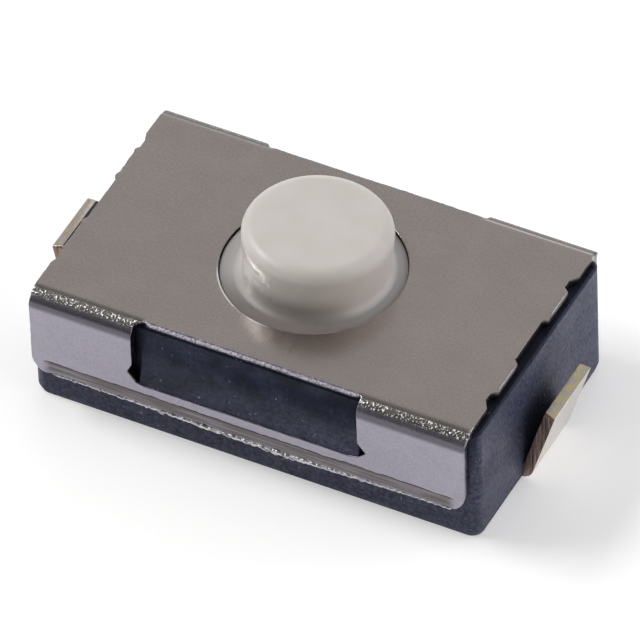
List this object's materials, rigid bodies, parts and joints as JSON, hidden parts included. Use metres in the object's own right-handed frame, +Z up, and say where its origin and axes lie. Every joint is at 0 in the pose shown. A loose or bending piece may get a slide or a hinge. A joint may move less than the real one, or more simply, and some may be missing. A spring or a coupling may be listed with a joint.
{
  "type": "tactile push button switch",
  "caption": "Surface-mount push button switch: flat black base, folded steel cover snapped over it, round off-white button on a snap dome, upturned solder terminals at both ends.",
  "frame": {"origin": "middle of the underside, in the plane that rests on the circuit board", "axes": "+X along the length, through both terminals; +Y across the width; +Z up, out of the button"},
  "size_m": [0.0068, 0.0036, 0.0025],
  "materials": {
    "base_plastic": "moulded, fine matt, slightly mottled",
    "cover_steel": "rolled stainless sheet with fine grain, grainy along the bends",
    "button_plastic": "moulded off-white, satin",
    "dome_steel": "spring steel, bright",
    "terminal_brass": "silver-plated brass, bare at the sheared edges"
  },
  "bodies": {
    "housing": {"base": "base_plastic", "terminal_left": "terminal_brass", "terminal_right": "terminal_brass", "snap_dome": "dome_steel", "cover": "cover_steel"},
    "button": {"button": "button_plastic"}
  },
  "joints": [
    {"name": "button_press", "type": "slide", "parent": "housing", "child": "button", "axis": [0, 0, -1], "range_m": [0, 0.00025], "stiffness_N_per_m": 6400, "deforming": ["snap_dome"]}
  ]
}
